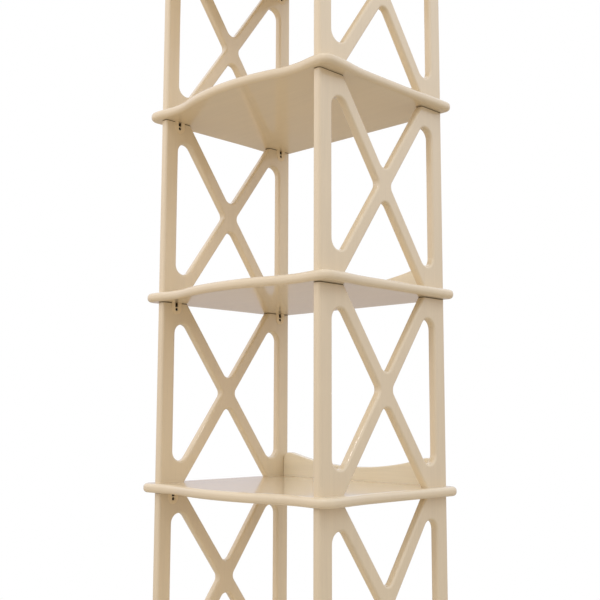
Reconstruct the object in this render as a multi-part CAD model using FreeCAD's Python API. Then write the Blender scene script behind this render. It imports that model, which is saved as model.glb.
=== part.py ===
"""A tall open display shelf that is built up tier by tier.

Six shelf boards with a serpentine front are stacked on pairs of pierced side panels.
Each panel is one board cut out as an X between two uprights, and stands on the shelf
below on the ends of its uprights. A cam fitting is let into the top of each upright,
and its connecting bolt runs up through the shelf into the foot of the panel above.
A low gallery rail with a hollowed top stands at the back of each shelf.

Frame: millimetres, X to the right, Y from front to back, Z up. The origin is on the
floor, under the middle of the shelf's plan.
"""
import FreeCAD, Part
import math
import os

# ---------------------------------------------------------------- driving dimensions
# Tiers
tier_count = 5
shelf_thickness = 16.0
panel_height = 321.5
panel_depth = 320.0
panel_thickness = 15.0
clear_width = 369.0            # between the inner faces of the two panels

# Side panel cut-out, measured on the panel's face. The bars cross at the panel's middle.
foot_width = 57.5              # each foot, along the shelf
stile_width = 29.7             # front and back uprights
bar_width = 23.5               # each diagonal bar, square to its edges
notch_radius = 13.8            # rounding at the point of each notch
hole_waist_radius = 12.5       # rounding of the side holes beside the crossing
hole_end_radius = 17.5         # rounding of the side holes at top and bottom
arris_radius = 4.5             # rounding along both faces, between the feet and the heads
head_arris_radius = 0.8        # easing of the upper ends, which meet the shelf above

# Shelf plan, measured outwards from the panels
front_bow = 31.5               # middle of the front edge
front_hollow = 9.8             # the two hollows of the front edge
front_ear = 14.2               # the two ears of the front edge
ear_overhang = 25.5            # widest part of the ends
waist_overhang = 17.3          # hollow of the ends
back_side_overhang = 20.4      # ends, at the back
back_overhang = 7.7            # straight back edge
ear_corner_radius = 20.0
back_corner_radius = 13.0
ear_run = 52.0                 # along the front, from an ear to its hollow
bow_share = 0.74               # of the way from the bow's middle to a hollow, where the curve turns over
ear_share = 0.50               # the same, from an ear to its hollow
waist_front = 0.32             # shares of the end's length between which the waist runs straight
waist_back = 0.62
shelf_edge_radius = 7.0

# Back rail
rail_thickness = 14.0
rail_end_height = 46.5
rail_middle_height = 25.0
rail_shoulder = 22.0           # flat stretch of the top edge at each end
rail_shoulder_radius = 30.0
rail_corner_radius = 14.0      # upper corner at each end
rail_edge_radius = 2.5

# Cam fitting, from the panel's inner face inwards and from the panel's top edge down
fitting_front_inset = 31.0     # bolt's axis from the panel's front edge
fitting_back_inset = 25.5      # bolt's axis from the panel's back edge
bolt_setback = 7.0             # bolt's axis behind the panel's inner face
cam_drop = 11.8                # cam's axis below the panel's top
cam_offset = 1.8               # cam's axis below the centre of the housing's round end
housing_wall = 1.2             # round the cam, where it is thinnest
housing_back = 1.0             # room behind the bolt's head
flange_rim = 1.0               # flange's width round the housing
flange_thickness = 0.8
flange_round = 0.35
front_plate = 1.8
slot_bridge = 1.2              # between the bolt's slot and the cam's window
cam_radius = 6.7
cam_wall = 1.6
cam_plate = 1.4
cam_boss_radius = 2.7
cam_boss_recess = 1.5          # the boss's end, below the face of the flange
cam_key_length = 4.4           # cross recess for the screwdriver
cam_key_width = 1.1
cam_key_depth = 1.6
cam_slot_over = 26.0           # degrees that the cam's slot runs on past the bolt's neck

# Connecting bolt
bolt_neck_radius = 1.8
bolt_head_radius = 3.0
bolt_head_thickness = 1.8      # of the head's straight part, under its cone
bolt_shank_radius = 3.0
bolt_grip = 20.0               # length held in the foot of the panel above
bolt_grip_top = 12.0           # length held in the top shelf

# Dowels, screws and glides
dowel_radius = 3.0
dowel_depth = 11.0             # in the shelf, and the same in the rail
dowel_spacing = 240.0
screw_radius = 2.5
screw_head_radius = 5.0
screw_head_height = 3.0
screw_grip = 26.0
glide_height = 8.0
glide_radius = 13.0
glide_recess = 2.4             # depth of the recess for the nail's head
glide_round = 1.5
glide_inset = 62.0             # from the panel's front and back edges
glide_side_inset = 5.0         # from the bolts' row towards the middle of the shelf
nail_radius = 1.2
nail_head_radius = 3.6
nail_head_height = 1.0
nail_grip = 11.0

# Clearances
seat_clearance = 0.1           # fixed round pieces in their holes
cam_clearance = 0.3            # between the cam and what it turns in
slot_clearance = 0.4           # between the bolt's head and the slot's sides

# ---------------------------------------------------------------- worked out from them
tier_pitch = panel_height + shelf_thickness
shelf_count = tier_count + 1
front_y = front_bow - (front_bow + panel_depth + back_overhang) / 2
back_y = front_y + panel_depth
inner_x = clear_width / 2
outer_x = inner_x + panel_thickness
bolt_x = inner_x + bolt_setback
bolt_rows = {"front": front_y + fitting_front_inset, "back": back_y - fitting_back_inset}
cam_cavity_radius = cam_radius + cam_clearance
housing_radius = cam_cavity_radius + cam_offset + housing_wall
housing_depth = bolt_setback + bolt_head_radius + housing_back
housing_drop = cam_drop - cam_offset
flange_radius = housing_radius + flange_rim
slot_width = 2 * (bolt_head_radius + slot_clearance)
slot_drop = cam_drop - cam_boss_radius - cam_clearance - slot_bridge
pocket_depth = housing_depth + seat_clearance
cam_bore_radius = cam_radius - cam_wall
cam_length = housing_depth - front_plate - cam_clearance
outward = {"left": 1, "right": -1}      # way that each panel's inner face looks, along X


def vec(x, y, z):
    return FreeCAD.Vector(x, y, z)


def shelf_z(index):
    """Height of the underside of a shelf, counted from 1 at the bottom."""
    return glide_height + (index - 1) * tier_pitch


def panel_z(tier):
    """Height of the feet of the panels in a tier."""
    return shelf_z(tier) + shelf_thickness


def cylinder_z(radius, length, x, y, z):
    return Part.makeCylinder(radius, length, vec(x, y, z))


# ---------------------------------------------------------------- outlines
def unit(a, b):
    return (b - a).normalize()


def rounded_outline(corners):
    """Closed wire through the corners (point, radius), each rounded by an arc that is
    tangent to both of its sides. A radius of 0 leaves the corner sharp."""
    count = len(corners)
    ends = []
    edges = []
    for i in range(count):
        point, radius = corners[i]
        before = unit(point, corners[i - 1][0])
        after = unit(point, corners[(i + 1) % count][0])
        half = before.getAngle(after) / 2
        reach = radius / math.tan(half)
        start = point + before * reach
        end = point + after * reach
        if radius > 0:
            middle = (before + after).normalize() * (radius / math.sin(half) - radius)
            edges.append(Part.Arc(start, point + middle, end).toShape())
        ends.append((start, end))
    for i in range(count):
        edges.append(Part.makeLine(ends[i][1], ends[(i + 1) % count][0]))
    return Part.Wire(Part.__sortEdges__(edges))


def edges_on(solid, axis, places):
    """Edges of the solid that lie whole in a plane square to the axis, at a place."""
    found = []
    for edge in solid.Edges:
        box = edge.BoundBox
        low = getattr(box, axis + "Min")
        high = getattr(box, axis + "Max")
        if any(abs(low - place) < 1e-4 and abs(high - place) < 1e-4 for place in places):
            found.append(edge)
    return found


# ---------------------------------------------------------------- shelf boards
def level_arc(start, end, along):
    """Arc between two points that runs along a direction where it starts."""
    chord = end - start
    ahead = along * math.copysign(1, along.dot(chord))
    turn = ahead.getAngle(chord)
    side = ahead - chord * (ahead.dot(chord) / chord.dot(chord))
    bulge = side.normalize() * (chord.Length / 2 * math.tan(turn / 2))
    return Part.Arc(start, start + chord * 0.5 + bulge, end).toShape()


def swing(start, end, along, share):
    """Two tangent arcs that run along a direction at their outer ends and meet at a
    share of the way."""
    meet = start + (end - start) * share
    return [level_arc(start, meet, along), level_arc(end, meet, along)]


def shelf_outline():
    """Plan of a shelf at height 0: bowed and hollowed front, waisted ends, straight
    back and rounded corners."""
    ear_x = outer_x + ear_overhang - ear_corner_radius
    end_low = front_y - front_ear + ear_corner_radius
    end_high = back_y + back_overhang - back_corner_radius
    end_length = end_high - end_low
    along_x = vec(1, 0, 0)
    along_y = vec(0, 1, 0)
    bow = vec(0, front_y - front_bow, 0)
    back_x = outer_x + back_side_overhang - back_corner_radius
    back = end_high + back_corner_radius
    edges = []
    for side in (1, -1):
        ear = vec(side * ear_x, front_y - front_ear, 0)
        hollow = vec(side * (ear_x - ear_run), front_y - front_hollow, 0)
        wide = vec(side * (outer_x + ear_overhang), end_low, 0)
        waist = [vec(side * (outer_x + waist_overhang), end_low + share * end_length, 0)
                 for share in (waist_front, waist_back)]
        rear = vec(side * (outer_x + back_side_overhang), end_high, 0)
        edges += swing(bow, hollow, along_x, bow_share)
        edges += swing(ear, hollow, along_x, ear_share)
        edges.append(level_arc(ear, wide, along_x))
        edges += swing(wide, waist[0], along_y, 0.5)
        edges.append(Part.makeLine(*waist))
        edges += swing(waist[1], rear, along_y, 0.5)
        edges.append(level_arc(rear, vec(side * back_x, back, 0), along_y))
    edges.append(Part.makeLine(vec(-back_x, back, 0), vec(back_x, back, 0)))
    return Part.Wire(Part.__sortEdges__(edges))


def plain_shelf():
    board = Part.Face(shelf_outline()).extrude(vec(0, 0, shelf_thickness))
    radius = min(shelf_edge_radius, 0.45 * shelf_thickness)
    return board.makeFillet(radius, edges_on(board, "Z", (0, shelf_thickness)))


def bolt_places():
    """Side, row and plan position of each bolt."""
    return [(side, row, -outward[side] * bolt_x, y)
            for side in outward for row, y in bolt_rows.items()]


def dowel_places():
    y = back_y - rail_thickness / 2
    return [(x, y) for x in (-dowel_spacing / 2, dowel_spacing / 2)]


def glide_places():
    x = bolt_x - glide_side_inset
    rows = (front_y + glide_inset, back_y - glide_inset)
    return [(side * x, y) for side in (-1, 1) for y in rows]


def make_shelf(index, blank):
    """One shelf in its place, bored for what passes through it or is set into it."""
    board = blank.translated(vec(0, 0, shelf_z(index)))
    low = shelf_z(index)
    cuts = []
    bore = bolt_shank_radius + seat_clearance
    for _, _, x, y in bolt_places():
        if index == 1:
            cuts.append(screw_shape(x, y, seat_clearance))
        elif index == shelf_count:
            cuts.append(cylinder_z(bore, bolt_grip_top + 1, x, y, low))
        else:
            cuts.append(cylinder_z(bore, shelf_thickness, x, y, low))
    if index < shelf_count:
        bore = dowel_radius + seat_clearance
        start = low + shelf_thickness - dowel_depth - 1
        cuts += [cylinder_z(bore, dowel_depth + 1, x, y, start) for x, y in dowel_places()]
    if index == 1:
        bore = nail_radius + seat_clearance
        cuts += [cylinder_z(bore, nail_grip, x, y, low) for x, y in glide_places()]
    return board.cut(cuts)


# ---------------------------------------------------------------- side panels
def bar_slope():
    """Rise of a diagonal bar over its run. The bar's middle line passes through the
    panel's middle, and its lower edge starts at the foot."""
    run = panel_depth / 2 - foot_width
    rise = panel_height / 2
    half = bar_width / 2
    diagonal = math.sqrt(run ** 2 + rise ** 2 - half ** 2)
    return (run * rise - half * diagonal) / (run ** 2 - half ** 2)


def panel_blank():
    """Left panel with its cut-outs and rounded edges: inner face on X = 0, front edge
    on Y = 0, feet on Z = 0."""
    middle = panel_depth / 2
    slope = bar_slope()
    notch_depth = (middle - foot_width) * slope
    bar_run = bar_width * math.sqrt(1 + slope ** 2) / slope
    waist_z = panel_height / 2
    waist_y = foot_width - bar_run + waist_z / slope
    end_z = (stile_width - foot_width + bar_run) * slope

    def outline(points):
        return rounded_outline([(vec(0, y, z), radius) for y, z, radius in points])

    far = panel_depth
    top = panel_height
    foot = foot_width
    outer = [(0, 0, 0), (foot, 0, 0), (middle, notch_depth, notch_radius)]
    outer += [(far - foot, 0, 0), (far, 0, 0), (far, top, 0), (far - foot, top, 0)]
    outer += [(middle, top - notch_depth, notch_radius), (foot, top, 0), (0, top, 0)]
    wires = [outline(outer)]
    for place in (lambda y: y, lambda y: far - y):
        hole = [(place(stile_width), end_z, hole_end_radius)]
        hole.append((place(waist_y), waist_z, hole_waist_radius))
        hole.append((place(stile_width), top - end_z, hole_end_radius))
        wires.append(outline(hole))
    board = Part.Face(wires, "Part::FaceMakerBullseye").extrude(vec(-panel_thickness, 0, 0))
    rounded = [edge for edge in edges_on(board, "X", (0, -panel_thickness))
               if edge.BoundBox.ZMax > 1e-3 and edge.BoundBox.ZMin < top - 1e-3]
    board = board.makeFillet(min(arris_radius, 0.4 * panel_thickness), rounded)
    return board.makeFillet(head_arris_radius, edges_on(board, "Z", (top,)))


def d_shape(radius, top, depth, z):
    """Prism with straight sides and a round lower end, in the fitting's frame: X down,
    Z out of the panel."""
    left = vec(top, -radius, z)
    right = vec(top, radius, z)
    left_low = vec(housing_drop, -radius, z)
    right_low = vec(housing_drop, radius, z)
    bottom = vec(housing_drop + radius, 0, z)
    edges = [Part.makeLine(right, left), Part.makeLine(left, left_low)]
    edges += [Part.Arc(left_low, bottom, right_low).toShape(), Part.makeLine(right_low, right)]
    return Part.Face(Part.Wire(edges)).extrude(vec(0, 0, depth))


def in_panel(shape, side, row, tier):
    """Turns a shape from the fitting's frame into its place at the top of a panel."""
    turned = shape.rotated(vec(0, 0, 0), vec(0, 1, 0), 90)
    if side == "right":
        turned = turned.rotated(vec(0, 0, 0), vec(0, 0, 1), 180)
    place = vec(-outward[side] * inner_x, bolt_rows[row], panel_z(tier) + panel_height)
    return turned.translated(place)


def make_panel(side, tier, blank):
    board = blank.translated(vec(-inner_x, front_y, panel_z(tier)))
    if side == "right":
        board = board.mirror(vec(0, 0, 0), vec(1, 0, 0))
    pocket = d_shape(housing_radius + seat_clearance, -1, pocket_depth, -pocket_depth)
    cuts = [in_panel(pocket, side, row, tier) for row in bolt_rows]
    x = -outward[side] * bolt_x
    radius, grip = (screw_radius, screw_grip) if tier == 1 else (bolt_shank_radius, bolt_grip)
    for y in bolt_rows.values():
        cuts.append(cylinder_z(radius + seat_clearance, grip + 1, x, y, panel_z(tier)))
    return board.cut(cuts)


# ---------------------------------------------------------------- back rails
def rail_blank():
    """Rail with its underside on Z = 0 and its back on Y = 0. The top edge is hollowed
    between two shoulders, and the upper corners are rounded."""
    half = clear_width / 2
    reach = half - rail_shoulder
    left = vec(-reach, 0, rail_end_height)
    right = vec(reach, 0, rail_end_height)
    end_left = vec(-half, 0, rail_end_height)
    end_right = vec(half, 0, rail_end_height)
    foot_left = vec(-half, 0, 0)
    foot_right = vec(half, 0, 0)
    hollow = Part.Arc(left, vec(0, 0, rail_middle_height), right).toShape()
    edges = [Part.makeLine(foot_left, foot_right), Part.makeLine(foot_right, end_right)]
    edges += [Part.makeLine(end_right, right), hollow, Part.makeLine(left, end_left)]
    edges.append(Part.makeLine(end_left, foot_left))
    board = Part.Face(Part.Wire(edges)).extrude(vec(0, -rail_thickness, 0))

    upper = edges_on(board, "Z", (rail_end_height,))
    board = board.makeFillet(rail_shoulder_radius, crossing(upper, reach))
    upper = edges_on(board, "Z", (rail_end_height,))
    board = board.makeFillet(rail_corner_radius, crossing(upper, half))
    long_edges = [edge for edge in edges_on(board, "Y", (0, -rail_thickness))
                  if edge.BoundBox.ZMax > 1 and edge.BoundBox.XLength > 1]
    return board.makeFillet(rail_edge_radius, long_edges)


def crossing(edges, distance):
    """Those of the edges that run from front to back at a distance left or right of the middle."""
    return [edge for edge in edges if edge.BoundBox.YLength > 1 and edge.BoundBox.XLength < 1e-3
            and abs(abs(edge.BoundBox.XMin) - distance) < 1e-3]


def make_rail(tier, blank):
    board = blank.translated(vec(0, back_y, panel_z(tier)))
    low = panel_z(tier)
    bore = dowel_radius + seat_clearance
    return board.cut([cylinder_z(bore, dowel_depth + 1, x, y, low) for x, y in dowel_places()])


def make_dowel(x, y, tier):
    rod = cylinder_z(dowel_radius, 2 * dowel_depth, x, y, panel_z(tier) - dowel_depth)
    return rod.makeChamfer(0.6, edges_on(rod, "Z", (rod.BoundBox.ZMin, rod.BoundBox.ZMax)))


# ---------------------------------------------------------------- cam fittings
def housing_blank():
    """Moulded housing: body in the pocket, thin flange on the face, slot for the bolt
    and round seat for the cam."""
    body = d_shape(housing_radius, 0, housing_depth, -housing_depth)
    flange = d_shape(flange_radius, 0, flange_thickness, 0)
    rim = [edge for edge in edges_on(flange, "Z", (flange_thickness,)) if edge.BoundBox.XMax > 1]
    flange = flange.makeFillet(flange_round, rim)
    seat_low = vec(cam_drop, 0, -housing_depth - front_plate)
    seat = Part.makeCylinder(cam_cavity_radius, housing_depth, seat_low)
    slot_depth = bolt_setback + slot_width / 2
    slot_corner = vec(-1, -slot_width / 2, -slot_depth)
    slot = Part.makeBox(slot_drop + 1, slot_width, slot_depth + 2, slot_corner)
    window_low = vec(cam_drop, 0, -front_plate - 1)
    window = Part.makeCylinder(cam_boss_radius + cam_clearance, front_plate + 4, window_low)
    return body.fuse(flange).removeSplitter().cut([seat, slot, window])


def cam_blank():
    """Cam about its axis at the origin: cup with a slot round its wall, a keyhole that
    lets the bolt's head in, and a boss with a cross recess for a screwdriver. The
    keyhole is at the bottom while the bolt is held."""
    plate_z = -front_plate - cam_clearance
    cup = Part.makeCylinder(cam_radius, cam_length, vec(0, 0, plate_z - cam_length))
    hollow_low = vec(0, 0, plate_z - cam_plate - cam_length)
    hollow = Part.makeCylinder(cam_bore_radius, cam_length, hollow_low)
    boss_end = flange_thickness - cam_boss_recess
    boss = Part.makeCylinder(cam_boss_radius, boss_end - plate_z, vec(0, 0, plate_z))
    up = vec(0, 0, 1)
    down = vec(1, 0, 0)
    slot_half = bolt_neck_radius + cam_clearance
    slot_low = vec(0, 0, -bolt_setback - slot_half)
    slot_turn = 180 + cam_slot_over
    slot = Part.makeCylinder(cam_radius + 1, 2 * slot_half, slot_low, up, slot_turn)
    neck = vec(0, 0, -bolt_setback)
    keyhole = Part.makeCylinder(bolt_head_radius + cam_clearance, cam_radius + 1, neck, down)
    cup = cup.cut([hollow, slot, keyhole])
    key_z = boss_end - cam_key_depth
    long_way = vec(-cam_key_length / 2, -cam_key_width / 2, key_z)
    cross_way = vec(-cam_key_width / 2, -cam_key_length / 2, key_z)
    key = [Part.makeBox(cam_key_length, cam_key_width, cam_key_depth + 1, long_way)]
    key.append(Part.makeBox(cam_key_width, cam_key_length, cam_key_depth + 1, cross_way))
    return cup.fuse(boss).removeSplitter().cut(key)


def make_bolt(x, y, shelf):
    """Connecting bolt of a shelf: coned head in the cam below, neck, and a shank up
    through the shelf. Both ends of the cone stand one clearance inside the cam's bore."""
    low = shelf_z(shelf)
    reach = cam_bore_radius - cam_clearance
    cone_top = low - cam_drop + math.sqrt(reach ** 2 - bolt_neck_radius ** 2)
    cone_low = low - cam_drop + math.sqrt(reach ** 2 - bolt_head_radius ** 2)
    head = cylinder_z(bolt_head_radius, bolt_head_thickness, x, y, cone_low - bolt_head_thickness)
    cone_height = cone_top - cone_low
    cone = Part.makeCone(bolt_head_radius, bolt_neck_radius, cone_height, vec(x, y, cone_low))
    neck = cylinder_z(bolt_neck_radius, low - cone_top, x, y, cone_top)
    length = bolt_grip_top if shelf == shelf_count else shelf_thickness + bolt_grip
    shank = cylinder_z(bolt_shank_radius, length, x, y, low)
    bolt = head.fuse([cone, neck, shank]).removeSplitter()
    return bolt.makeChamfer(0.5, edges_on(bolt, "Z", (bolt.BoundBox.ZMin, bolt.BoundBox.ZMax)))


# ---------------------------------------------------------------- base screws and glides
def screw_shape(x, y, grow):
    """Countersunk screw up through the lowest shelf, or its hole when grown by a clearance."""
    low = shelf_z(1)
    wide = screw_head_radius + grow
    cone = Part.makeCone(wide, screw_radius + grow, screw_head_height, vec(x, y, low))
    shank = cylinder_z(screw_radius + grow, shelf_thickness + screw_grip, x, y, low)
    return cone.fuse(shank).removeSplitter()


def make_glide(x, y):
    """Round floor glide with a recess in its underside for the nail's head."""
    disc = cylinder_z(glide_radius, glide_height, x, y, 0)
    disc = disc.makeFillet(glide_round, edges_on(disc, "Z", (0,)))
    recess = cylinder_z(nail_head_radius + 2 * seat_clearance, glide_recess, x, y, 0)
    hole = cylinder_z(nail_radius + seat_clearance, glide_height, x, y, 0)
    return disc.cut([recess, hole])


def make_nail(x, y):
    head_low = glide_recess - nail_head_height
    head = cylinder_z(nail_head_radius, nail_head_height, x, y, head_low)
    shank = cylinder_z(nail_radius, glide_height + nail_grip - head_low, x, y, head_low)
    return head.fuse(shank).removeSplitter()


# ---------------------------------------------------------------- nodes
def build_nodes():
    nodes = {}
    shelf = plain_shelf()
    panel = panel_blank()
    rail = rail_blank()
    housing = housing_blank()
    cam = cam_blank().translated(vec(cam_drop, 0, 0))

    for index in range(1, shelf_count + 1):
        nodes[f"shelf_{index}"] = make_shelf(index, shelf)

    for tier in range(1, tier_count + 1):
        for side in outward:
            nodes[f"side_panel_{side}_{tier}"] = make_panel(side, tier, panel)
            for row in bolt_rows:
                nodes[f"cam_{side}_{row}_{tier}"] = in_panel(cam, side, row, tier)
        housings = [in_panel(housing, side, row, tier) for side, row, _, _ in bolt_places()]
        nodes[f"connector_housings_{tier}"] = Part.makeCompound(housings)
        nodes[f"back_rail_{tier}"] = make_rail(tier, rail)

    for index in range(2, shelf_count + 1):
        bolts = [make_bolt(x, y, index) for _, _, x, y in bolt_places()]
        nodes[f"connecting_bolts_{index}"] = Part.makeCompound(bolts)

    dowels = [make_dowel(x, y, tier) for tier in range(1, tier_count + 1) for x, y in dowel_places()]
    nodes["rail_dowels"] = Part.makeCompound(dowels)
    nodes["base_screws"] = Part.makeCompound([screw_shape(x, y, 0) for _, _, x, y in bolt_places()])
    nodes["floor_glides"] = Part.makeCompound([make_glide(x, y) for x, y in glide_places()])
    nodes["glide_nails"] = Part.makeCompound([make_nail(x, y) for x, y in glide_places()])
    return nodes


os.makedirs("parts", exist_ok=True)
for name, shape in build_nodes().items():
    if not shape.isValid():
        raise ValueError(f"{name} is not a valid shape")
    shape.exportStep(f"parts/{name}.step")
    print(name, len(shape.Solids), "solids", round(shape.Volume), "mm3")
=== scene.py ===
"""Tall open etagere in cream lacquer: six serpentine shelves on pierced X panels, with cam fittings.

Everything is in metres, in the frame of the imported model: X to the right, Y to the back, Z up, and the origin
on the floor under the middle of the shelves.
"""
import math
import bpy
import numpy as np
from mathutils import Matrix, Vector


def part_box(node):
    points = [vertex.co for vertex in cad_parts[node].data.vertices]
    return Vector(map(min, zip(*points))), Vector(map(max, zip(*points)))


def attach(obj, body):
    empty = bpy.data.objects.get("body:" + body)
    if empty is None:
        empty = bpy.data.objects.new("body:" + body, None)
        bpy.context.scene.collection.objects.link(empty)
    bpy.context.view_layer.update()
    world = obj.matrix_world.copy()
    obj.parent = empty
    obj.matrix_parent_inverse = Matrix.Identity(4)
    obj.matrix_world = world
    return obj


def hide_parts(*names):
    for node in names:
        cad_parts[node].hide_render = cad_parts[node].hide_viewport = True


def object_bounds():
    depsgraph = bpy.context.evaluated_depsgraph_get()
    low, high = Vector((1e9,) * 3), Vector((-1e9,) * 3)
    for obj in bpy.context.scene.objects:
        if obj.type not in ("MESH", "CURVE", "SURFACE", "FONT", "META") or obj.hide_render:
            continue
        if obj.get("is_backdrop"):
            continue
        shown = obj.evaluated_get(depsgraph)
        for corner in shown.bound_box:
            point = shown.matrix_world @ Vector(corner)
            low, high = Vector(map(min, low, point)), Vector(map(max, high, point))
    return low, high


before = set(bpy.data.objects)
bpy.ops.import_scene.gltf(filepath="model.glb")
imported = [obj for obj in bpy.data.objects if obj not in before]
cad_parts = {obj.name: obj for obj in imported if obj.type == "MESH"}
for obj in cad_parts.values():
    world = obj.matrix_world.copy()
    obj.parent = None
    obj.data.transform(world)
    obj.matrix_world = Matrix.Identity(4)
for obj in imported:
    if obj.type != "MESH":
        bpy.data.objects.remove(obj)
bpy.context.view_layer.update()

# ----------------------------------------------------------------------------------------------------- camera
# A long lens at table height, off the front right corner and tilted up a little, so that the view takes in
# three of the shelves and runs off the piece above and below.

camera_place = Vector((1.16607, -1.18424, 0.81920))
camera_yaw = math.radians(44.206)
camera_pitch = math.radians(6.925)
camera_roll = math.radians(0.151)
camera_lens = 56.754
camera_sensor = 36.0

ahead = Vector((-math.sin(camera_yaw), math.cos(camera_yaw), math.tan(camera_pitch))).normalized()
level = Vector((math.cos(camera_yaw), math.sin(camera_yaw), 0.0))
camera_data = bpy.data.cameras.new("camera")
camera_data.lens = camera_lens
camera_data.sensor_width = camera_sensor
camera = bpy.data.objects.new("camera", camera_data)
bpy.context.scene.collection.objects.link(camera)
camera.matrix_world = (Matrix.Translation(camera_place)
                       @ Matrix((level, level.cross(ahead), -ahead)).transposed().to_4x4()
                       @ Matrix.Rotation(camera_roll, 4, "Z"))
bpy.context.scene.camera = camera
bpy.context.scene.view_settings.view_transform = "Standard"

# ------------------------------------------------------------------------------------------------- soft boxes
# Square soft boxes stand round the piece: two warm ones on its left, a cool one at its right, and two white
# ones in front. They only fill, and don't show in the gloss. The lamp overhead is small, and is the one that
# shows there as a highlight.

cool = (0.70, 0.78, 1.0)
warm = (1.0, 0.60, 0.30)
plain_white = (1.0, 0.92, 0.95)
lamp_aim = Vector((0.0, 0.0, 1.0))
soft_box_side = 0.8
small_lamp_side = 0.25


def soft_box(name, place, power, colour, size=soft_box_side, in_gloss=False):
    """Square area light at a place, turned towards a point in the middle of the piece."""
    data = bpy.data.lights.new(name, "AREA")
    data.size = size
    data.energy = power
    data.color = colour
    lamp = bpy.data.objects.new(name, data)
    lamp.visible_camera = False
    lamp.visible_glossy = in_gloss
    bpy.context.scene.collection.objects.link(lamp)
    facing = (Vector(place) - lamp_aim).to_track_quat("Z", "Y")
    lamp.matrix_world = Matrix.Translation(place) @ facing.to_matrix().to_4x4()


soft_box("high_left", (-1.5, -0.2, 2.5), 1.0, warm)
soft_box("low_left", (-1.5, -0.1, 1.25), 1.8, warm)
soft_box("high_right", (1.5, 0.5, 2.3), 4.0, cool)
soft_box("low_front_left", (-0.9, -1.3, 1.5), 2.8, plain_white)
soft_box("low_front", (0.2, -1.5, 1.5), 1.8, plain_white)
soft_box("overhead", (0.7, -1.2, 2.8), 4.0, plain_white, size=small_lamp_side, in_gloss=True)

# ------------------------------------------------------------------------------------------------ white sweep
# The room is a white sweep: bright overhead, duller at eye level, and warm near the floor, which throws its
# own colour up. The camera itself sees plain white behind the piece.


def add_node(tree, kind, settings=None, **inputs):
    """Adds a shader node. An input is named with _ for each space, or by its number after a single _, and
    takes a value or another node's output."""
    made = tree.nodes.new(kind)
    for name, value in (settings or {}).items():
        setattr(made, name, value)
    for name, value in inputs.items():
        socket = made.inputs[int(name[1:]) if name[1:].isdigit() else name.replace("_", " ")]
        if isinstance(value, bpy.types.NodeSocket):
            tree.links.new(value, socket)
        else:
            socket.default_value = value
    return made


def worked_out(tree, operation, *values):
    """One step of arithmetic on up to three numbers."""
    numbered = {f"_{count}": value for count, value in enumerate(values)}
    return add_node(tree, "ShaderNodeMath", {"operation": operation}, **numbered).outputs[0]


def ramp(tree, value, start, end, low=0.0, high=1.0, kind="LINEAR"):
    """Low up to the start, high from the end, and in proportion between them."""
    return add_node(tree, "ShaderNodeMapRange", {"interpolation_type": kind},
                    _0=value, _1=start, _2=end, _3=low, _4=high).outputs["Result"]


def blend(tree, share, first, second):
    """The first colour where the share is nought, the second where it is one, and a mixture between."""
    return add_node(tree, "ShaderNodeMix", {"data_type": "RGBA"}, _0=share, _6=first, _7=second).outputs[2]


overhead_light = (0.93, 0.92, 0.95, 1.0)
level_light = (0.57, 0.51, 0.51, 1.0)
floor_light = (0.47, 0.40, 0.32, 1.0)
backdrop_white = (1.0, 1.0, 1.0, 1.0)
floor_glow_top = math.radians(-20)
overhead_start = math.radians(22)

world = bpy.data.worlds.new("sweep")
world.use_nodes = True
bpy.context.scene.world = world
room = world.node_tree
room.nodes.clear()
away = add_node(room, "ShaderNodeTexCoord").outputs["Generated"]
upward = add_node(room, "ShaderNodeSeparateXYZ", _0=away).outputs["Z"]
climb = worked_out(room, "ARCSINE", upward)
room_light = blend(room, ramp(room, climb, floor_glow_top, 0.0), floor_light, level_light)
room_light = blend(room, ramp(room, climb, 0.0, overhead_start), room_light, overhead_light)
lit = add_node(room, "ShaderNodeBackground", Color=room_light, Strength=1.0).outputs[0]
plain = add_node(room, "ShaderNodeBackground", Color=backdrop_white, Strength=1.0).outputs[0]
seen = add_node(room, "ShaderNodeLightPath").outputs["Is Camera Ray"]
both = add_node(room, "ShaderNodeMixShader", _0=seen, _1=lit, _2=plain).outputs[0]
add_node(room, "ShaderNodeOutputWorld", Surface=both)

# ------------------------------------------------------------------------------------------------------ floor
# A round of plain pale floor under the piece, which thins out into the white sweep. It throws a little of its
# warmth up on the lowest tiers.


def grid_faces(rows, columns):
    """Quads of a grid of rows of points whose columns close round on themselves: each joins a point and the
    next one of its row with the two points beside them in the row after."""
    row = np.arange(rows - 1)[:, None] * columns
    here = np.arange(columns)[None, :]
    there = (here + 1) % columns
    quads = np.stack([row + here, row + there, row + columns + there, row + columns + here], -1)
    return quads.reshape(-1, 4)


def new_material(name):
    """An empty material and its node tree."""
    material = bpy.data.materials.new(name)
    material.use_nodes = True
    material.node_tree.nodes.clear()
    return material, material.node_tree


def place_on_piece(tree):
    """A point's place on its piece, which moves with the piece."""
    return add_node(tree, "ShaderNodeTexCoord").outputs["Object"]


def blots(tree, place, per_metre, detail, **more):
    """Soft random blots, nearly all between the faint and the strong level."""
    return add_node(tree, "ShaderNodeTexNoise", Vector=place, Scale=per_metre, Detail=detail,
                    **more).outputs["Fac"]


def tone_of(tree, share, low, high):
    """Turns blots into a tone that multiplies a colour, or into a roughness."""
    return ramp(tree, share, faint_blot, strong_blot, low, high)


def toned(tree, colour, tone):
    """A colour times a tone."""
    return add_node(tree, "ShaderNodeVectorMath", {"operation": "SCALE"}, _0=colour, Scale=tone).outputs[0]


def finish_with(tree, surface):
    """Ends a material's tree with its surface."""
    add_node(tree, "ShaderNodeOutputMaterial", Surface=surface)


faint_blot = 0.3
strong_blot = 0.7
floor_radius = 2.2
floor_fade_start = 0.6
floor_rings = 12
floor_spokes = 96
floor_colour = (0.58, 0.53, 0.44)

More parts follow.
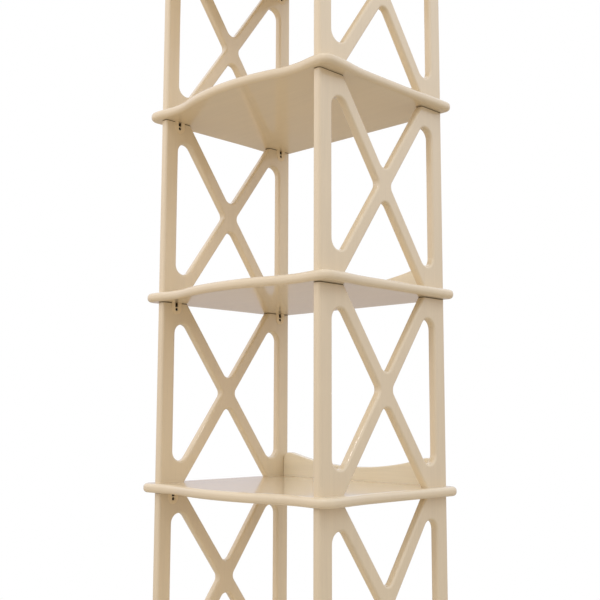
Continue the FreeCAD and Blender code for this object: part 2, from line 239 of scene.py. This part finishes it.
ring = np.linspace(0.0, 1.0, floor_rings + 1)[1:, None] * floor_radius
spoke = np.linspace(0.0, 2 * math.pi, floor_spokes, endpoint=False)[None, :]
floor_points = np.stack([ring * np.cos(spoke), ring * np.sin(spoke), 0 * ring * spoke], -1).reshape(-1, 3)
floor_mesh = bpy.data.meshes.new("floor")
floor_faces = grid_faces(floor_rings, floor_spokes)[:, ::-1].tolist() + [list(range(floor_spokes))]
floor_mesh.from_pydata(floor_points, [], floor_faces)
floor = bpy.data.objects.new("floor", floor_mesh)
bpy.context.scene.collection.objects.link(floor)
floor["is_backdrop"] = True

floor_paint, tree = new_material("floor_paint")
place = place_on_piece(tree)
from_middle = add_node(tree, "ShaderNodeVectorMath", {"operation": "LENGTH"}, _0=place).outputs["Value"]
fade = ramp(tree, from_middle, floor_fade_start, floor_radius, kind="SMOOTHSTEP")
paint_tone = tone_of(tree, blots(tree, place, 3.0, 3.0), 0.97, 1.03)
paint = add_node(tree, "ShaderNodeBsdfDiffuse", Color=toned(tree, floor_colour, paint_tone)).outputs[0]
clear = add_node(tree, "ShaderNodeBsdfTransparent").outputs[0]
finish_with(tree, add_node(tree, "ShaderNodeMixShader", _0=fade, _1=paint, _2=clear).outputs[0])
floor_mesh.materials.append(floor_paint)

# ------------------------------------------------------------------------------------------- lacquered boards
# The shelves and the side panels are wood under several coats of cream lacquer, rubbed down to a satin gloss.
# The grain only just shows: it runs along the shelves and up the panels. Each panel's eased head, where it
# butts up against the shelf above, is painted dark for a line's width: a painted shadow of the thin gap there.


def relief(tree, height, strength, depth, **below):
    """A slight bump, on top of another one when that is given as the normal."""
    return add_node(tree, "ShaderNodeBump", Strength=strength, Distance=depth, Height=height,
                    **below).outputs[0]


board_cream = (0.82, 0.70, 0.49)
# Painted shadow: a dark brown line at each panel's head stands for the shade in the gap under the shelf above.
gap_shadow_brown = (0.09, 0.055, 0.010, 1.0)
gap_shadow_height = 0.0014
gap_shadow_core = 0.8            # share of the painted gap shadow that is fully dark; the rest fades into the lacquer
smoothest_satin = 0.31
roughest_satin = 0.39
coat_roughness = 0.08
streak_stretch = 0.05
pore_stretch = 0.02
first_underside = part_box("shelf_1")[0][2]
tier_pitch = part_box("shelf_2")[0][2] - first_underside


def lacquer(name, colour, grain_along, streak_depth, pore_depth, gap_shadow_band=0.0):
    """Cream lacquer over wood whose grain runs along one axis. The grain shows as broad streaks of tone and
    as fine pores. The streaks and the peel of the sprayed coat are felt as a slight relief. Given a band
    height, a painted shadow darkens that height just under each shelf, where the share of the tier climbed is
    nearly one."""
    material, tree = new_material(name)
    place = place_on_piece(tree)
    broad = [streak_stretch if axis == grain_along else 1.0 for axis in "XYZ"]
    fine = [pore_stretch if axis == grain_along else 1.0 for axis in "XYZ"]
    streak_place = add_node(tree, "ShaderNodeMapping", Vector=place, Scale=broad).outputs[0]
    streak = blots(tree, streak_place, 70.0, 5.0, Roughness=0.62, Distortion=0.4)
    pore_place = add_node(tree, "ShaderNodeMapping", Vector=place, Scale=fine).outputs[0]
    pore = blots(tree, pore_place, 900.0, 2.0)
    cloud = blots(tree, place, 7.0, 2.0)
    peel = blots(tree, place, 420.0, 2.0)

    streak_tone = tone_of(tree, streak, 1.0 - streak_depth, 1.0 + streak_depth)
    pore_tone = ramp(tree, pore, faint_blot, 0.55, 1.0 - pore_depth, 1.0)
    cloud_tone = tone_of(tree, cloud, 0.985, 1.015)
    tone = worked_out(tree, "MULTIPLY", worked_out(tree, "MULTIPLY", streak_tone, pore_tone), cloud_tone)
    shade = toned(tree, colour, tone)
    # Painted shadow of the gap under each shelf, darkening the top of every panel by height.
    if gap_shadow_band > 0.0:
        height = add_node(tree, "ShaderNodeSeparateXYZ", _0=place).outputs["Z"]
        tiers = worked_out(tree, "MULTIPLY_ADD", height, 1.0 / tier_pitch, -first_underside / tier_pitch)
        climbed = worked_out(tree, "FRACT", tiers)
        painted_gap_shadow = ramp(tree, climbed, 1.0 - gap_shadow_band / tier_pitch,
                    1.0 - gap_shadow_core * gap_shadow_band / tier_pitch)
        shade = blend(tree, painted_gap_shadow, shade, gap_shadow_brown)

    grain_relief = relief(tree, streak, 0.10, 0.0003)
    surface = add_node(tree, "ShaderNodeBsdfPrincipled", Base_Color=shade,
                       Roughness=tone_of(tree, cloud, smoothest_satin, roughest_satin),
                       Normal=relief(tree, peel, 0.06, 0.0002, Normal=grain_relief),
                       Coat_Weight=1.0, Coat_Roughness=coat_roughness)
    finish_with(tree, surface.outputs[0])
    return material


def refinish(prefix, material):
    """Gives every CAD node whose name starts with a prefix a material."""
    for name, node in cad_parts.items():
        if name.startswith(prefix):
            node.data.materials.clear()
            node.data.materials.append(material)


shelf_lacquer = lacquer("shelf_lacquer", board_cream, "X", streak_depth=0.020, pore_depth=0.02)
# The panels carry the painted gap shadow at their heads.
panel_lacquer = lacquer("panel_lacquer", board_cream, "Z", streak_depth=0.025, pore_depth=0.03,
                        gap_shadow_band=gap_shadow_height)
refinish("shelf_", shelf_lacquer)
refinish("side_panel_", panel_lacquer)

# ------------------------------------------------------------------------------------------------- back rails
# The gallery rail at the back of each shelf is doweled down between the panels. The rails are a little paler
# than the boards, and they had fewer coats, so more of the growth lines shows.

rail_cream = (0.95, 0.87, 0.66)

rail_lacquer = lacquer("rail_lacquer", rail_cream, "X", streak_depth=0.05, pore_depth=0.03)
refinish("back_rail_", rail_lacquer)

# ----------------------------------------------------------------------------------------- connector housings
# Injection-moulded plastic a little lighter than the lacquer, with a fine spark-eroded texture. The hollow
# behind its face, where the cam turns, is painted dark: painted shade for the deep recess.

moulding_cream = (0.90, 0.76, 0.52)
# Painted shade: the housing's hollow is darkened in its colour, for the shade inside the recess.
hollow_shade_dark = (0.035, 0.025, 0.012, 1.0)
hollow_reach = 0.0098           # from the back of a housing to where the painted shade of its hollow begins
hollow_shade_edge = 0.001
hollow_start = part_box("connector_housings_1")[1][0] - hollow_reach

housing_plastic, tree = new_material("housing_plastic")
place = place_on_piece(tree)
spark = blots(tree, place, 2600.0, 1.0)
flow_tone = tone_of(tree, blots(tree, place, 160.0, 2.0), 0.97, 1.02)
from_middle = worked_out(tree, "ABSOLUTE", add_node(tree, "ShaderNodeSeparateXYZ", _0=place).outputs["X"])
# Painted shade inside the hollow, past a set distance across the housing.
painted_hollow_shade = ramp(tree, from_middle, hollow_start, hollow_start + hollow_shade_edge)
plastic_colour = blend(tree, painted_hollow_shade, toned(tree, moulding_cream, flow_tone), hollow_shade_dark)
plastic = add_node(tree, "ShaderNodeBsdfPrincipled", Base_Color=plastic_colour, Roughness=0.45,
                   Normal=relief(tree, spark, 0.15, 0.00005))
finish_with(tree, plastic.outputs[0])
refinish("connector_housings_", housing_plastic)

# ------------------------------------------------------------------------------------------------------- cams
# Die-cast zinc, blackened, with the dull grain of the casting and brighter spots where it has rubbed. Each
# cam turns in its housing to grip the head of a connecting bolt.

cast_black = (0.030, 0.027, 0.024, 1.0)
rubbed_black = (0.09, 0.085, 0.08, 1.0)

black_zinc, tree = new_material("black_zinc")
cast = blots(tree, place_on_piece(tree), 1200.0, 3.0)
zinc_colour = blend(tree, ramp(tree, cast, 0.45, 0.8), cast_black, rubbed_black)
zinc = add_node(tree, "ShaderNodeBsdfPrincipled", Base_Color=zinc_colour, Roughness=0.5, Metallic=0.7,
                Normal=relief(tree, cast, 0.3, 0.0001))
finish_with(tree, zinc.outputs[0])
refinish("cam_", black_zinc)

# ------------------------------------------------------------------------------------------- connecting bolts
# Turned steel bolts, blackened like the cams. The coned head and the neck sit in the cam below, the plain
# shank fills the shelf, and a rolled thread holds in the foot of the panel above, or in the top shelf.


def turned_solid(radius, height):
    """Points and faces of a turned solid. Radius and height are given for each row of a grid, from the lowest
    point of the axis to the highest, and may differ from spoke to spoke: a point lies that far from the axis
    at its spoke's angle, and that high. A fan of triangles closes each end."""
    rows, spokes = radius.shape
    angle = np.arange(spokes)[None, :] * (2 * math.pi / spokes)
    skin = np.stack([radius * np.cos(angle), radius * np.sin(angle), height + 0 * angle], -1).reshape(-1, 3)
    ends = np.array([[0.0, 0.0, np.mean(height[0])], [0.0, 0.0, np.mean(height[-1])]])
    here = np.arange(spokes)
    there = (here + 1) % spokes
    last = (rows - 1) * spokes
    low_fan = np.stack([np.full(spokes, rows * spokes), there, here], -1)
    high_fan = np.stack([np.full(spokes, rows * spokes + 1), last + here, last + there], -1)
    faces = grid_faces(rows, spokes).tolist() + low_fan.tolist() + high_fan.tolist()
    return np.concatenate([skin, ends]), faces


def row_of_solids(name, solid, places, material, node):
    """One object of a turned solid repeated at each place, which stands for a CAD node of the carcass."""
    points, faces = solid
    all_points = np.concatenate([points + np.array(place) for place in places])
    all_faces = [[corner + count * len(points) for corner in face]
                 for count in range(len(places)) for face in faces]
    mesh = bpy.data.meshes.new(name)
    mesh.from_pydata(all_points, [], all_faces)
    mesh.shade_smooth()
    mesh.set_sharp_from_angle(angle=math.radians(35))
    mesh.materials.append(material)
    piece = bpy.data.objects.new(name, mesh)
    bpy.context.scene.collection.objects.link(piece)
    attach(piece, "carcass")
    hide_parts(node)


def corner_places(low, high, inset):
    """The four places that stand in from the sides of a box by the radius of the pieces at its corners."""
    return [(x, y, 0.0) for x in (low[0] + inset, high[0] - inset)
            for y in (low[1] + inset, high[1] - inset)]


def thread(height, spokes, root, crest, pitch):
    """Radius of a thread over a grid of heights and spokes: a ridge with sloping flanks and a narrow flat
    crest, whose place in the pitch is the fraction of height over pitch less the share of the turn."""
    turn = np.arange(spokes)[None, :] / spokes
    in_pitch = np.mod(height / pitch - turn, 1.0)
    return root + (crest - root) * np.clip(1.25 * (1.0 - np.abs(2.0 * in_pitch - 1.0)), 0.0, 1.0)


bolt_spokes = 24
bolt_radius = 0.0030            # of the head, the shank and the thread's crest
head_face_radius = 0.0025
head_chamfer = 0.0005
head_height = 0.0018
neck_radius = 0.0018
neck_top_of_cone = 0.00735      # below the shelf
thread_root = 0.0025
thread_pitch = 0.00125
thread_step = 0.00015
plain_in_shelf = 0.016
plain_in_top_shelf = 0.001
thread_gap = 0.0001
tip_radius = 0.0022
tip_length = 0.0006
tip_taper = 0.0004
top_shelf = 6

for shelf in range(2, top_shelf + 1):
    low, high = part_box(f"connecting_bolts_{shelf}")
    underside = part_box(f"shelf_{shelf}")[0][2]
    grip_start = underside + (plain_in_top_shelf if shelf == top_shelf else plain_in_shelf)
    plain = [(head_face_radius, low[2]), (bolt_radius, low[2] + head_chamfer),
             (bolt_radius, low[2] + head_height), (neck_radius, underside - neck_top_of_cone),
             (neck_radius, underside), (bolt_radius, underside), (bolt_radius, grip_start)]
    plain_radius = np.array([radius for radius, _ in plain])[:, None] + np.zeros((1, bolt_spokes))
    plain_height = np.array([height for _, height in plain])[:, None]
    grip_height = np.arange(grip_start + thread_gap, high[2] - tip_length, thread_step)[:, None]
    grip_radius = thread(grip_height, bolt_spokes, thread_root, bolt_radius, thread_pitch)
    end_radius = np.array([thread_root, tip_radius])[:, None] + np.zeros((1, bolt_spokes))
    end_height = np.array([high[2] - tip_taper, high[2]])[:, None]
    bolt = turned_solid(np.concatenate([plain_radius, grip_radius, end_radius]),
                        np.concatenate([plain_height, grip_height, end_height]))
    row_of_solids(f"threaded_bolts_{shelf}", bolt, corner_places(low, high, bolt_radius), black_zinc,
                  f"connecting_bolts_{shelf}")

# ------------------------------------------------------------------------------------------------ rail dowels
# Beech dowels that join each back rail to its shelf, half in each. They are pressed with straight flutes that
# let the glue out, and chamfered at both ends.

pale_fibre = (0.68, 0.48, 0.29, 1.0)
dark_fibre = (0.46, 0.29, 0.15, 1.0)

bare_beech, tree = new_material("bare_beech")
fibre_place = add_node(tree, "ShaderNodeMapping", Vector=place_on_piece(tree),
                       Scale=(1.0, 1.0, 0.06)).outputs[0]
fibre = blots(tree, fibre_place, 1500.0, 3.0)
beech = add_node(tree, "ShaderNodeBsdfPrincipled", Base_Color=blend(tree, fibre, dark_fibre, pale_fibre),
                 Roughness=0.7, Normal=relief(tree, fibre, 0.3, 0.0001))
finish_with(tree, beech.outputs[0])

flutes = 18
dowel_spokes = 8 * flutes
dowel_radius = 0.0030
dowel_end_radius = 0.0024
dowel_reach = 0.011             # up into the rail, and as far down into the shelf
dowel_chamfer = 0.0006
flute_start = 0.0009            # from the end to the full depth of a flute
flute_depth = 0.00022

angle = np.arange(dowel_spokes)[None, :] * (2 * math.pi / dowel_spokes)
groove = flute_depth * (0.5 - 0.5 * np.cos(flutes * angle)) ** 2
half_height = np.array([dowel_reach, dowel_reach - dowel_chamfer, dowel_reach - flute_start])
half_radius = np.array([dowel_end_radius, dowel_radius, dowel_radius])
half_share = np.array([0.0, 0.3, 1.0])
stem_height = np.concatenate([-half_height, half_height[::-1]])[:, None]
stem_radius = np.concatenate([half_radius, half_radius[::-1]])[:, None]
groove_share = np.concatenate([half_share, half_share[::-1]])[:, None]
dowel = turned_solid(stem_radius - groove_share * groove, stem_height)
low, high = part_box("rail_dowels")
places = [(x, (low[1] + high[1]) / 2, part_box(f"back_rail_{tier}")[0][2])
          for tier in range(1, top_shelf) for x in (low[0] + dowel_radius, high[0] - dowel_radius)]
row_of_solids("fluted_dowels", dowel, places, bare_beech, "rail_dowels")

# ------------------------------------------------------------------------------------------------ base screws
# Zinc-plated wood screws, driven up through the lowest shelf: a countersunk head with a cross recess, a plain
# shank in the shelf, a coarse thread above it and a gimlet point.

dull_plate = (0.58, 0.57, 0.53, 1.0)
clean_plate = (0.72, 0.71, 0.70, 1.0)

bright_zinc, tree = new_material("bright_zinc")
plate = blots(tree, place_on_piece(tree), 700.0, 3.0)
plated = add_node(tree, "ShaderNodeBsdfPrincipled", Base_Color=blend(tree, plate, dull_plate, clean_plate),
                  Roughness=tone_of(tree, plate, 0.25, 0.42), Metallic=1.0)
finish_with(tree, plated.outputs[0])


def recess_depth(radius, angle, arm, width, depth):
    """Depth of a cross recess at a point of the head: full within half a width of either arm's middle line,
    out to the arm's length, with sloping sides."""
    side_slope, end_slope = 0.0003, 0.0006
    across = np.minimum(np.abs(radius * np.sin(angle)), np.abs(radius * np.cos(angle)))
    in_width = np.clip((width / 2 - across) / side_slope + 0.5, 0.0, 1.0)
    return depth * in_width * np.clip((arm - radius) / end_slope, 0.0, 1.0)


screw_spokes = 48
screw_head_radius = 0.0050
screw_shank_radius = 0.0025
screw_root = 0.0016
screw_neck = 0.0023             # where the thread begins
screw_pitch = 0.0022
screw_step = 0.00025
point_length = 0.006
point_share = 0.06              # of the thread's radius, left at the very point

angle = np.arange(screw_spokes)[None, :] * (2 * math.pi / screw_spokes)
low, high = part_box("base_screws")
face_radius = np.array([0.0003, 0.0007, 0.0011, 0.0015, 0.0019, 0.0023, 0.0027, 0.0031, 0.0042,
                        screw_head_radius])[:, None]
face_height = low[2] + recess_depth(face_radius, angle, arm=0.0028, width=0.0011, depth=0.0016)
shank = [(screw_head_radius, 0.0002), (screw_shank_radius, 0.003), (screw_shank_radius, 0.017),
         (screw_neck, 0.0172)]
shank_radius = np.array([radius for radius, _ in shank])[:, None] + 0 * angle
shank_height = np.array([low[2] + rise for _, rise in shank])[:, None] + 0 * angle
grip_height = np.arange(low[2] + 0.0174, high[2] - 0.0002, screw_step)[:, None]
taper = np.clip((high[2] - grip_height) / point_length, point_share, 1.0)
grip_radius = thread(grip_height, screw_spokes, screw_root, screw_shank_radius, screw_pitch) * taper
screw = turned_solid(np.concatenate([face_radius + 0 * angle, shank_radius, grip_radius]),
                     np.concatenate([face_height, shank_height, grip_height + 0 * angle]))
row_of_solids("countersunk_screws", screw, corner_places(low, high, screw_head_radius), bright_zinc,
              "base_screws")

# ------------------------------------------------------------------------------------------------ glide nails
# Plated wire nails that hold the floor glides under the lowest shelf. The head is slightly domed, the shank
# is ringed so that it doesn't draw, and the point is short.

nail_spokes = 24
nail_head_radius = 0.0036
nail_shank_radius = 0.0011
nail_ring_depth = 0.0001
nail_ring_pitch = 0.0012
nail_step = 0.0002

low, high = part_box("glide_nails")
dome = [(0.0008, 0.0), (0.0018, 0.00003), (0.0028, 0.00012), (0.0034, 0.00026), (nail_head_radius, 0.00045),
        (nail_head_radius, 0.0010)]
dome_radius = np.array([radius for radius, _ in dome])[:, None]
dome_height = np.array([rise for _, rise in dome])[:, None] + low[2]
ring_height = np.arange(low[2] + 0.00101, high[2] - 0.0026, nail_step)[:, None]
ring_wave = np.clip(3.0 * np.sin(2 * math.pi * ring_height / nail_ring_pitch), -1.0, 1.0)
ring_radius = nail_shank_radius + nail_ring_depth * ring_wave
point_radius = np.array([nail_shank_radius, 0.0006, 0.0001])[:, None]
point_height = np.array([high[2] - 0.0025, high[2] - 0.0012, high[2]])[:, None]
nail = turned_solid(np.concatenate([dome_radius, ring_radius, point_radius]) + np.zeros((1, nail_spokes)),
                    np.concatenate([dome_height, ring_height, point_height]))
row_of_solids("ringed_nails", nail, corner_places(low, high, nail_head_radius), bright_zinc, "glide_nails")

# ----------------------------------------------------------------------------------------------- floor glides
# Discs of moulded nylon, off-white with darker scuffs, nailed under the lowest shelf near its corners. They
# keep the board off the floor.

scuffed_nylon = (0.70, 0.62, 0.50, 1.0)
clean_nylon = (0.82, 0.76, 0.66, 1.0)

nylon, tree = new_material("nylon")
scuff = blots(tree, place_on_piece(tree), 500.0, 4.0, Distortion=2.0)
moulded = add_node(tree, "ShaderNodeBsdfPrincipled",
                   Base_Color=blend(tree, scuff, scuffed_nylon, clean_nylon),
                   Roughness=tone_of(tree, scuff, 0.35, 0.6))
finish_with(tree, moulded.outputs[0])
refinish("floor_glides", nylon)

# ------------------------------------------------------------------------------------------------------ sizes
# The box of the model as dressed here: the imported parts still shown and the new pieces, without the floor.

low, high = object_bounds()
